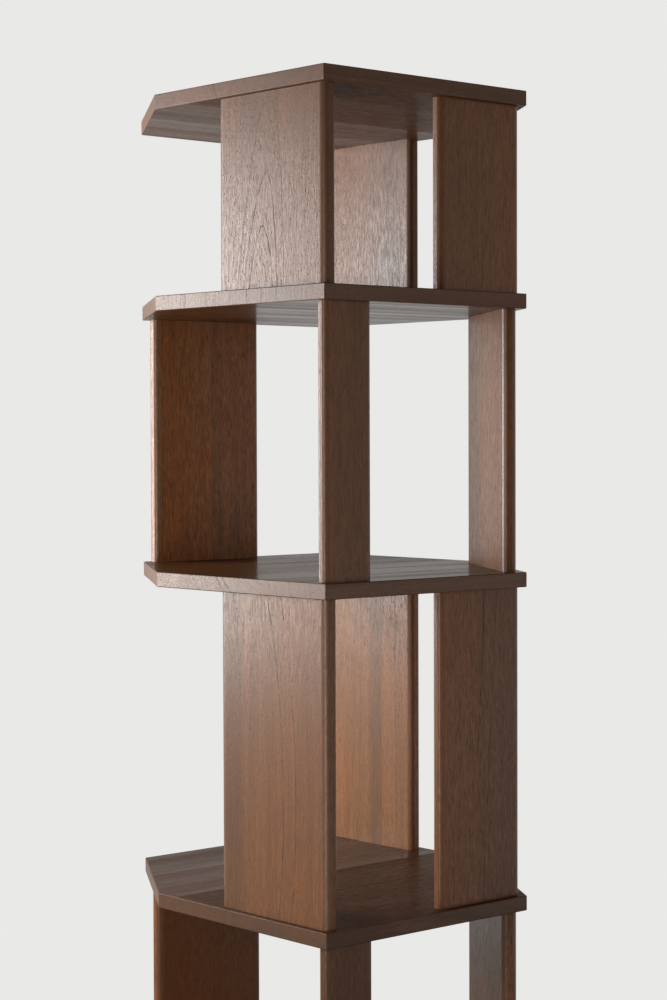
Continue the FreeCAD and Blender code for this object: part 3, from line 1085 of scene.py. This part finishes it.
@dataclass
class Board(GluedPiece):
    """A hexagonal board with eased edges, its grain running from left to right.

    Attributes:
        front_side: Length of the front and back sides.
        left_side: Length of the left and right sides.
        edge_round: Radius of the eased edges at top and bottom.
        corner_round: Radius of the eased upright corners.
        round_steps: Straight runs in each round.
    """

    front_side: float = 0.355
    left_side: float = 0.345
    edge_round: float = 1.2 * MILLIMETRE
    corner_round: float = 1.5 * MILLIMETRE
    round_steps: int = 4

    def axes(self) -> np.ndarray:
        """Across is front to back, through is upwards, along is left to right."""
        return np.array([[0.0, 1.0, 0.0], [0.0, 0.0, 1.0], [1.0, 0.0, 0.0]])

    def span(self) -> Pair:
        """Front and back of the board, from its middle."""
        low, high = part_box(self.node)
        return -(high.y - low.y) / 2.0, (high.y - low.y) / 2.0

    def skin(self, seams: np.ndarray) -> tuple[Outline, Profile]:
        """The hexagon, with its two corners cut, and an edge eased at top and bottom.

        Args:
            seams: Place of each glue seam across the grain, in the frame's axes.

        Returns:
            The outline and the rows that carry it.
        """
        low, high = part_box(self.node)
        cut_right, cut_left = low.x + self.front_side, high.x - self.front_side
        cut_front, cut_back = high.y - self.left_side, low.y + self.left_side
        corners = np.array([
            (low.x, low.y), (cut_right, low.y), (high.x, cut_front),
            (high.x, high.y), (cut_left, high.y), (low.x, cut_back),
        ])
        outline = Outline.rounded(corners, self.corner_round, self.round_steps, self.axes()[0][:2], seams)
        return outline, Profile.eased(low.z, high.z, self.edge_round, self.round_steps)


@dataclass
class Panel(GluedPiece):
    """An upright panel with its four long edges rounded over, its grain upright.

    Attributes:
        heading: Direction of the panel in plan, from +X.
        thickness: Its thickness.
        edge_round: How far its long edges are rounded into its thickness.
        edge_reach: How far the rounding reaches along its faces.
        round_steps: Straight runs in each round.
    """

    heading: float = 0.0
    thickness: float = 0.020
    edge_round: float = 8.0 * MILLIMETRE
    edge_reach: float = 11.0 * MILLIMETRE
    round_steps: int = 12

    def axes(self) -> np.ndarray:
        """Across is along the panel's heading, through is to the heading's left, along is upwards."""
        cosine, sine = math.cos(self.heading), math.sin(self.heading)
        return np.array([[cosine, sine, 0.0], [-sine, cosine, 0.0], [0.0, 0.0, 1.0]])

    def span(self) -> Pair:
        """Ends of the panel from its middle, worked out from the node's box.

        A turned panel of width w, thickness t and radius r is (w - 2r)|cos| + (t - 2r)|sin| + 2r wide
        along X.

        Returns:
            The two ends.
        """
        low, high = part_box(self.node)
        cosine, sine = abs(math.cos(self.heading)), abs(math.sin(self.heading))
        along_x, along_y = (high.x - low.x, cosine, sine), (high.y - low.y, sine, cosine)
        reach, main, other = along_x if cosine > sine else along_y
        straight = (reach - 2.0 * self.edge_round - (self.thickness - 2.0 * self.edge_round) * other) / main
        width = straight + 2.0 * self.edge_round
        return -width / 2.0, width / 2.0

    def skin(self, seams: np.ndarray) -> tuple[Outline, Profile]:
        """The panel's section, and its two square ends.

        The section is rounded while squeezed across, then stretched back, which turns its arcs into parts of
        ellipses. Normals stretch the other way.

        Args:
            seams: Place of each glue seam across the grain, in the frame's axes.

        Returns:
            The outline and the rows that carry it.
        """
        low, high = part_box(self.node)
        start, end = self.span()
        half = self.thickness / 2.0
        stretch = np.array([self.edge_reach / self.edge_round, 1.0])
        corners = np.array([(start, -half), (end, -half), (end, half), (start, half)]) / stretch
        axes = self.axes()[:2, :2]
        middle = self.middle()[:2]
        squeezed = (seams - axes[0] @ middle) / stretch[0]
        outline = Outline.rounded(corners, self.edge_round, self.round_steps, np.array([1.0, 0.0]), squeezed)
        normals = outline.normals / stretch
        normals /= np.linalg.norm(normals, axis=1, keepdims=True)
        placed = Outline(outline.points * stretch @ axes + middle, normals @ axes, outline.bends)
        return placed, Profile.square(low.z, high.z)


# The shelf

class Figure(Enum):
    """How a plank was sawn, as the heart's distance across and in depth, its lean, and the ring width."""

    QUARTER = (0.34, -0.03, 0.0, 0.0055)
    RIFT = (0.16, -0.09, 0.02, 0.0055)
    PLAIN = (0.01, -0.06, 0.05, 0.0050)


@dataclass
class StaveRack:
    """Draws planks for the boards, whose figure isn't set by hand, the same ones each run.

    Attributes:
        draw: The random numbers.
        share_reach: How far planks differ in width, as a share.
        heart_reach: How far their hearts differ across.
        lean_reach: How far their hearts lean across.
        ring_reach: How far they differ in ring width, as a share.
        vein_reach: How far from the piece's middle a dark vein may come up.
        tone_reach: How far they differ in lightness.
        warmth_reach: How far they differ between grey and orange.
        seed_reach: How far their seeds differ.
    """

    draw: np.random.Generator
    share_reach: float = 0.25
    heart_reach: float = 0.06
    lean_reach: float = 0.02
    ring_reach: float = 0.2
    vein_reach: float = 0.25
    tone_reach: float = 0.08
    warmth_reach: float = 0.07
    seed_reach: float = 20.0

    def plank(self, figure: Optional[Figure]) -> Stave:
        """Draws one plank: how it was sawn, where its heart lies and its tint.

        Args:
            figure: How it was sawn, or None for any way.

        Returns:
            The plank.
        """
        drawn = list(Figure)[int(self.draw.integers(len(Figure)))]
        across, depth, lean, ring = (figure or drawn).value
        side, rise = self.draw.choice((-1.0, 1.0), size=2)
        tone, warmth, width, aside, seed = self.draw.uniform(-1.0, 1.0, size=5)
        heart = side * across + self.heart_reach * aside
        veins = np.hypot(heart - self.draw.uniform(-self.vein_reach, self.vein_reach, size=3), depth)
        return Stave(
            share=1.0 + self.share_reach * width, heart=(heart, depth * rise),
            lean=(self.lean_reach * aside, lean * rise), ring=ring * (1.0 + self.ring_reach * width),
            tone=self.tone_reach * tone, warmth=self.warmth_reach * warmth,
            seed=round(self.seed_reach * seed, 2), veins=tuple(veins),
        )


@dataclass(frozen=True)
class BoardLook:
    """How one board differs from the others.

    Attributes:
        figure: How its planks were sawn, or None for any way.
        tone: How much lighter, or darker if negative, its planks are.
        lacquer: Strength of the lacquer on its faces, where it isn't the boards' common one.
        films: How thick the lacquer lies on each of its planks, from front to back.
    """

    figure: Optional[Figure] = None
    tone: float = 0.0
    lacquer: Optional[float] = None
    films: tuple[float, ...] = (1.0, 1.0, 1.0, 1.0)


@dataclass
class Shelf:
    """The whole shelf: boards, panels, dowels and floor pads.

    Attributes:
        boards: The boards, from the floor up, and how each looks.
        panels: The panels, tier by tier, and the planks of each, in order across it.
        rack: Where the boards' planks come from.
        board_ring: Ring width in the boards, against the drawn planks'.
        shaded_face_finish: Finish of the boards' faces, darker than their edges as painted shade on tops and
            undersides.
        edge_finish: Finish of the boards' edges.
        panel_finish: Finish of the panels.
        dowel_finish: Finish of the dowels.
        pad_finish: Finish of the floor pads.
    """

    boards: dict[str, BoardLook] = field(default_factory=lambda: {
        BASE_BOARD: BoardLook(),
        "lower_shelf": BoardLook(Figure.QUARTER, tone=-0.22, films=(0.3, 0.5, 2.0, 2.5)),
        "middle_shelf": BoardLook(Figure.RIFT, lacquer=0.26),
        "upper_shelf": BoardLook(Figure.QUARTER, tone=-0.08, lacquer=0.37),
        "top_board": BoardLook(Figure.RIFT, films=(0.1, 0.3, 1.3, 1.9)),
    })
    panels: dict[str, tuple[Stave, ...]] = field(default_factory=lambda: {
        # The bottom tier's back panel and post are darkened in tone: partly the planks' own colour, partly
        # painted shade for the fainter light low down.
        "bottom_tier_back_panel": (
            Stave(1.0, (-0.42, 0.02), (0.005, 0.0), 0.0030, tone=-0.06, warmth=0.26, seed=17.3),
            Stave(1.0, (0.50, 0.03), (0.005, 0.0), 0.0028, tone=-0.10, warmth=0.22, seed=18.7),
        ),
        "bottom_tier_front_post": (
            Stave(1.0, (0.20, 0.05), (0.02, 0.0), 0.0050, tone=-0.38, warmth=0.14, seed=19.9),
        ),
        "bottom_tier_corner_panel": (
            Stave(1.0, (-0.22, -0.05), (0.02, 0.0), 0.0048, tone=0.30, warmth=-0.10, seed=10.6, pores=0.3),
            Stave(1.0, (0.26, -0.04), (0.01, 0.0), 0.0045, tone=0.22, warmth=-0.08, seed=6.1, pores=0.3),
        ),
        # Its face, which only the front lamp reaches, is lighter than the narrow stave at its lamp-lit left
        # end: partly the planks' own lighter wood, partly painted light on the face and painted shade on the
        # end.
        "upper_tier_back_panel": (
            Stave(
                0.126, (-0.50, 0.02), (0.005, 0.0), 0.0026, tone=0.16, warmth=-0.10, seed=2.3,
                pores=0.2, film=1.6,
            ),
            Stave(0.974, (-0.50, 0.02), (0.005, 0.0), 0.0026, tone=0.40, warmth=0.16, seed=2.3, pores=0.2),
            Stave(1.0, (0.45, 0.03), (0.005, 0.0), 0.0028, tone=0.28, warmth=0.10, seed=6.6, pores=0.2),
        ),
        "upper_tier_front_post": (
            Stave(
                1.0, (-0.0187, 0.070), (0.0, -0.0846), 0.0080, tone=-0.18, seed=7.4,
                veins=(0.0, 0.0, 0.0758),
            ),
        ),
        "upper_tier_corner_panel": (
            Stave(1.0, (-0.25, -0.04), (0.02, 0.0), 0.0045, tone=-0.14, warmth=0.04, seed=9.3),
            Stave(1.0, (0.22, -0.05), (0.02, 0.0), 0.0048, tone=-0.22, warmth=-0.06, seed=1.8),
        ),
        "lower_tier_left_panel": (
            Stave(
                1.0, (0.176, -0.010), (0.0, -0.437), 0.0075, tone=-0.12, seed=4.5,
                veins=(0.1987, 0.2222, 0.0), stain=(0.078, 0.026, 0.60), pores=0.7, film=0.6,
            ),
        ),
        "lower_tier_front_panel": (
            Stave(1.0, (-0.20, 0.05), (0.02, 0.0), 0.0050, warmth=0.16, seed=15.5),
            Stave(
                1.25, (0.14, 0.06), (0.05, 0.02), 0.0066, tone=-0.14, warmth=-0.04, seed=16.1,
                veins=(0.1638, 0.0, 0.1441),
            ),
        ),
        "lower_tier_right_panel": (
            Stave(
                0.44, (-0.30, -0.04), (0.01, 0.0), 0.0048, tone=0.38, seed=12.2,
                veins=(0.0, 0.0, 0.2334), pores=0.8,
            ),
            Stave(
                1.0, (0.06, -0.05), (0.03, 0.05), 0.0052, tone=0.30, warmth=-0.10, seed=14.8,
                veins=(0.0, 0.0, 0.0790), stain=(-0.030, 0.024, 0.75), pores=0.7,
            ),
        ),
        "top_tier_left_panel": (
            Stave(
                1.0, (0.0107, -0.035), (-0.080, -0.096), 0.0062, tone=-0.28, warmth=-0.02, seed=3.1,
                veins=(0.0465, 0.0403, 0.0561), pores=0.85, film=0.6,
            ),
        ),
        "top_tier_front_panel": (
            Stave(1.0, (-0.14, 0.06), (0.02, 0.03), 0.0050, tone=0.04, warmth=0.02, seed=11.4, film=0.25),
            Stave(1.1, (0.12, 0.05), (-0.03, 0.02), 0.0046, tone=0.14, warmth=-0.05, seed=13.9),
        ),
        "top_tier_right_panel": (
            Stave(
                1.0, (-0.16, -0.06), (0.03, 0.02), 0.0052, tone=-0.30, seed=5.7,
                stain=(-0.066, 0.030, 0.55), pores=0.3,
            ),
            Stave(1.4, (0.20, -0.05), (-0.02, 0.02), 0.0050, tone=-0.22, warmth=-0.10, seed=8.2),
        ),
    })
    rack: StaveRack = field(default_factory=lambda: StaveRack(np.random.default_rng(PLANK_SEED)))
    board_ring: float = 0.7
    # The boards' tops and undersides are left darker than their edges (depth 0.52 against 0.68): painted
    # shade on the faces.
    shaded_face_finish: TeakFinish = TeakFinish(
        "board_teak", depth=0.52, gloss=Ramp(0.30, 0.70, 0.54, 0.42), shine=0.04, lacquer=0.14,
        line_share=0.4,
    )
    edge_finish: TeakFinish = TeakFinish(
        "board_edge_teak", depth=0.68, figure_share=0.3, gloss=Ramp(0.30, 0.70, 0.44, 0.34), shine=0.56,
        burnish=-0.25, fibre_share=0.5, late_share=0.6, line_share=0.4, ring_relief=0.35,
    )
    panel_finish: TeakFinish = TeakFinish("panel_teak", edge_lacquer=0.40, lacquer_gloss=0.32)
    dowel_finish: BeechFinish = BeechFinish("dowel_beech")
    pad_finish: FeltFinish = FeltFinish("pad_felt")

    def build(self, nodes: dict[str, bpy.types.Object]) -> list[bpy.types.Object]:
        """Builds and dresses every piece.

        Args:
            nodes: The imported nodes.

        Returns:
            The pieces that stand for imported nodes.
        """
        effects = Effects()
        made = self.build_boards(effects) + self.build_panels(effects)
        beech = self.dowel_finish.build(effects)
        for name, dowels in nodes.items():
            if name.endswith("_dowels"):
                dowels.data.materials.clear()
                dowels.data.materials.append(beech)
        return made + [FloorPads("floor_pads").build(self.pad_finish.build())]

    def build_boards(self, effects: Effects) -> list[bpy.types.Object]:
        """Builds the boards, from drawn planks that take on each board's look.

        Args:
            effects: The shared node groups.

        Returns:
            The boards.
        """
        common, edging = self.shaded_face_finish.build(effects), self.edge_finish.build(effects)
        made = []
        for name, look in self.boards.items():
            planks = [self.rack.plank(look.figure) for _ in look.films]
            staves = [
                replace(plank, tone=plank.tone + look.tone, ring=self.board_ring * plank.ring, film=film)
                for plank, film in zip(planks, look.films)
            ]
            face = common
            if look.lacquer is not None:
                face = replace(self.shaded_face_finish, name=f"{name}_teak", lacquer=look.lacquer).build(effects)
            made.append(Board(name, staves, "board_teak").build(face, edging))
        return made

    def build_panels(self, effects: Effects) -> list[bpy.types.Object]:
        """Builds the panels. The corner panels follow the boards' cut corner.

        Args:
            effects: The shared node groups.

        Returns:
            The panels.
        """
        low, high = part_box(BASE_BOARD)
        across, back = high.x - low.x - Board.front_side, high.y - low.y - Board.left_side
        headings = {
            "left_panel": math.pi / 2.0, "right_panel": math.pi / 2.0, "front_panel": 0.0,
            "back_panel": 0.0, "front_post": 0.0, "corner_panel": math.atan2(back, across),
        }
        teak = self.panel_finish.build(effects)
        return [
            Panel(name, staves, "panel_teak", heading=headings[name.split("_tier_")[1]]).build(teak)
            for name, staves in self.panels.items()
        ]


@dataclass
class FloorPads:
    """Felt discs under the base board, each a turned section with a soft rim.

    Attributes:
        node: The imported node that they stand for.
        radius: Radius of a disc.
        rim: Radius of the soft rim.
        inset: Distance of the corner discs' middles from the base board's sides.
        round_steps: Straight runs in the rim.
        turn_steps: Straight runs round a disc.
    """

    node: str
    radius: float = 0.014
    rim: float = 1.4 * MILLIMETRE
    inset: float = 0.040
    round_steps: int = 6
    turn_steps: int = 48

    def middles(self) -> np.ndarray:
        """Middle of each disc: one by each corner of the base board, in pairs a half turn apart.

        Returns:
            The middles in plan, 6 by 2.
        """
        low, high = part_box(BASE_BOARD)
        half = (np.array(high) - np.array(low))[:2] / 2.0
        cut = 2.0 * half - (Board.front_side, Board.left_side)
        first = np.array([
            half - self.inset,
            (half[0] - Board.front_side, half[1] - self.inset),
            (self.inset - half[0], half[1] - cut[1]),
        ])
        return np.concatenate((first, -first))

    def build(self, felt: bpy.types.Material) -> bpy.types.Object:
        """Turns the section round each disc's middle.

        The section runs from the middle of the top, round the soft rim, to the middle of the underside. The
        two middles are single points, joined to the rows beside them by triangles.

        Args:
            felt: The discs' finish.

        Returns:
            The finished piece.
        """
        low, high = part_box(self.node)
        angles = np.linspace(math.pi / 2.0, -math.pi / 2.0, 2 * self.round_steps + 1)
        lift = np.where(angles >= 0.0, high.z - self.rim, low.z + self.rim)
        reach = (self.radius - self.rim + self.rim * np.cos(angles))[:, None]
        rows = (lift + self.rim * np.sin(angles))[:, None]
        turns = np.linspace(0.0, 2.0 * math.pi, self.turn_steps, endpoint=False)
        ring = np.stack(
            (reach * np.cos(turns), reach * np.sin(turns), np.repeat(rows, self.turn_steps, axis=1)), axis=2,
        ).reshape(-1, 3)
        disc = np.concatenate((ring, [(0.0, 0.0, high.z), (0.0, 0.0, low.z)]))
        quads = rows_to_faces(len(rows), self.turn_steps)
        top_row = np.arange(self.turn_steps)
        foot_row = top_row + len(ring) - self.turn_steps
        caps = np.concatenate((
            np.stack((top_row, np.roll(top_row, -1), np.full_like(top_row, len(ring))), axis=1),
            np.stack((np.roll(foot_row, -1), foot_row, np.full_like(foot_row, len(ring) + 1)), axis=1),
        ))
        middles = self.middles()
        flat = np.concatenate((middles, np.zeros((len(middles), 1))), axis=1)
        places = (flat[:, None, :] + disc[None]).reshape(-1, 3)
        shifts = np.arange(len(middles))[:, None, None] * len(disc)
        faces = (quads[None] + shifts).reshape(-1, 4).tolist() + (caps[None] + shifts).reshape(-1, 3).tolist()
        mesh = bpy.data.meshes.new(self.node + "_felt")
        mesh.from_pydata(places.tolist(), [], faces)
        mesh.shade_smooth()
        mesh.materials.append(felt)
        return add_piece(mesh, self.node)


# Studio

@dataclass(frozen=True)
class Softbox:
    """A large soft lamp.

    Attributes:
        name: The lamp's name.
        place: Where it stands.
        aim: The point that it faces.
        size: Its width and height.
        power: Its power in watts.
        mirrored: Whether it shows in reflections.
        colour: Its colour.
    """

    name: str
    place: Triple
    aim: Triple
    size: Pair
    power: float
    mirrored: bool = True
    colour: Colour = (1.0, 1.0, 1.0)

    def build(self) -> None:
        """Adds the lamp, which the camera doesn't see."""
        lamp = bpy.data.lights.new(self.name, "AREA")
        lamp.shape = "RECTANGLE"
        lamp.size, lamp.size_y = self.size
        lamp.energy = self.power
        lamp.color = self.colour
        stand = bpy.data.objects.new(self.name, lamp)
        stand.location = self.place
        stand.rotation_euler = (Vector(self.aim) - Vector(self.place)).to_track_quat("-Z", "Y").to_euler()
        stand.visible_camera = False
        stand.visible_glossy = self.mirrored
        bpy.context.scene.collection.objects.link(stand)


@dataclass(frozen=True)
class Studio:
    """A pale floor that runs out into a pale backdrop, and soft lamps.

    Attributes:
        backdrop: Colour of the backdrop.
        floor: Colour of the floor.
        floor_bounce: Colour of the floor as the shelf meets it in bounced light.
        room: Light of the room on all that isn't lit by a lamp.
        behind: Direction from the camera's side of the room to the backdrop, in plan.
        turn: How the backdrop comes into reflections, by the cosine of the angle to that direction.
        haze: How the backdrop dims in reflections, by the rise from eye level.
        floor_radius: How far the floor reaches.
        floor_steps: Straight runs round the floor.
        fade: Share of the backdrop's colour in the floor, by the distance from the shelf.
        mirrored_fade: The same in reflections.
        lamps: The lamps.
    """

    backdrop: Colour = srgb(233, 233, 231)
    floor: Colour = srgb(224, 223, 220)
    floor_bounce: Colour = (0.30, 0.29, 0.28)
    room: Colour = (0.08, 0.08, 0.08)
    behind: Triple = (0.66, 0.75, 0.0)
    turn: Ramp = Ramp(0.15, 0.60)
    haze: Ramp = Ramp(0.05, 0.30, 1.0, 0.25)
    floor_radius: float = 9.0
    floor_steps: int = 96
    fade: Ramp = Ramp(0.30, 1.10, 0.50, 1.0)
    mirrored_fade: Ramp = Ramp(0.8, 2.6, 0.0, 0.80)
    lamps: tuple[Softbox, ...] = (
        Softbox(
            "key_softbox", place=(-0.93, 1.11, 1.18), aim=(0.0, 0.0, 1.14), size=(0.68, 0.92), power=30.0,
        ),
        Softbox(
            "side_softbox", place=(-1.45, -0.44, 0.84), aim=(0.0, -0.27, 0.84), size=(0.26, 1.16), power=8.6,
        ),
        Softbox(
            "front_softbox", place=(1.7, -2.9, 1.2), aim=(0.0, 0.0, 1.0), size=(3.6, 2.4), power=16.8,
            colour=(1.0, 0.80, 0.68),
        ),
        Softbox(
            "back_softbox", place=(2.4, 1.9, 1.6), aim=(0.0, 0.0, 0.9), size=(1.8, 1.8), power=30.0,
            mirrored=False,
        ),
    )

    def build(self) -> None:
        """Sets up the world, the floor and the lamps."""
        self.light_world()
        self.lay_floor()
        for lamp in self.lamps:
            lamp.build()

    def light_world(self) -> None:
        """Lights the room. The camera sees the backdrop, as do reflections that point behind the shelf."""
        world = bpy.data.worlds.new("studio")
        graph = NodeGraph.fresh(world)
        ray = graph.node("ShaderNodeLightPath").outputs
        direction = graph.node("ShaderNodeTexCoord").outputs["Generated"]
        facing = graph.ease(graph.measure("DOT_PRODUCT", direction, self.behind), self.turn)
        level = graph.ease(graph.math("ABSOLUTE", graph.parts(direction)[2]), self.haze)
        mirrored = graph.product(ray["Is Glossy Ray"], graph.product(facing, level))
        seen = graph.largest(ray["Is Camera Ray"], ray["Is Transmission Ray"], mirrored)
        room = graph.node("ShaderNodeBackground", {"Color": self.room, "Strength": 1.0})
        backdrop = graph.node("ShaderNodeBackground", {"Color": self.backdrop, "Strength": 1.0})
        graph.node("ShaderNodeOutputWorld", {"Surface": graph.blend(seen, room, backdrop)})
        bpy.context.scene.world = world

    def lay_floor(self) -> None:
        """Lays a round floor that keeps the shelf's shadow and runs out into the backdrop's colour."""
        turns = np.linspace(0.0, 2.0 * math.pi, self.floor_steps, endpoint=False)
        rim = np.stack((np.cos(turns), np.sin(turns), np.zeros(len(turns))), axis=1) * self.floor_radius
        mesh = bpy.data.meshes.new("floor")
        mesh.from_pydata(rim.tolist(), [], [list(range(len(turns)))])
        material = bpy.data.materials.new("pale_floor")
        graph = NodeGraph.fresh(material)
        away = graph.measure("LENGTH", graph.node("ShaderNodeTexCoord").outputs["Object"])
        ray = graph.node("ShaderNodeLightPath").outputs
        seen = graph.largest(ray["Is Camera Ray"], ray["Is Transmission Ray"])
        mirrored = graph.product(graph.ease(away, self.mirrored_fade), ray["Is Glossy Ray"])
        share = graph.total(graph.product(graph.ease(away, self.fade), seen), mirrored)
        matt = graph.node("ShaderNodeBsdfDiffuse", {"Color": graph.mix(seen, self.floor_bounce, self.floor)})
        glow = graph.node("ShaderNodeEmission", {"Color": self.backdrop, "Strength": 1.0})
        graph.node("ShaderNodeOutputMaterial", {"Surface": graph.blend(share, matt, glow)})
        mesh.materials.append(material)
        floor = bpy.data.objects.new("floor", mesh)
        bpy.context.scene.collection.objects.link(floor)


@dataclass(frozen=True)
class PhotoCamera:
    """The photograph's camera, found from the edges of the boards.

    Attributes:
        place: Where it stands.
        heading: Where it looks in plan, turned from +Y towards +X, in radians.
        pitch: How far it looks down, in radians.
        roll: How far it is turned about its own axis, in radians.
        focal_pixels: Its focal length in pixels of the photograph.
        long_side: The photograph's longer side in pixels.
        clip: The nearest and the farthest that it sees.
    """

    place: Triple = (-2.0886, -2.3965, 1.1107)
    heading: float = 0.71991
    pitch: float = 0.02861
    roll: float = -0.00311
    focal_pixels: float = 2284.0
    long_side: int = 1000
    clip: Pair = (0.05, 60.0)

    def build(self) -> None:
        """Sets up the camera and makes it the scene's own."""
        lens = bpy.data.cameras.new("photo_camera")
        lens.sensor_fit = "AUTO"
        lens.lens = lens.sensor_width * self.focal_pixels / self.long_side
        lens.clip_start, lens.clip_end = self.clip
        camera = bpy.data.objects.new("photo_camera", lens)
        level = Matrix.Rotation(-self.heading, 4, "Z") @ Matrix.Rotation(math.pi / 2.0 - self.pitch, 4, "X")
        camera.matrix_world = Matrix.Translation(self.place) @ level @ Matrix.Rotation(self.roll, 4, "Z")
        bpy.context.scene.collection.objects.link(camera)
        bpy.context.scene.camera = camera


def write_sizes() -> None:
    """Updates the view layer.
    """
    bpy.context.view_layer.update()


def main() -> None:
    """Loads the frame, dresses the shelf, and sets up the studio and the camera."""
    logging.basicConfig(level=logging.INFO, format="%(message)s")
    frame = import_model()
    bpy.context.scene.view_settings.view_transform = "Standard"
    for piece in Shelf().build(frame["nodes"]):
        LOG.info("%s: %d faces", piece.name, len(piece.data.polygons))
    Studio().build()
    PhotoCamera().build()
    write_sizes()


if __name__ == "__main__":
    main()
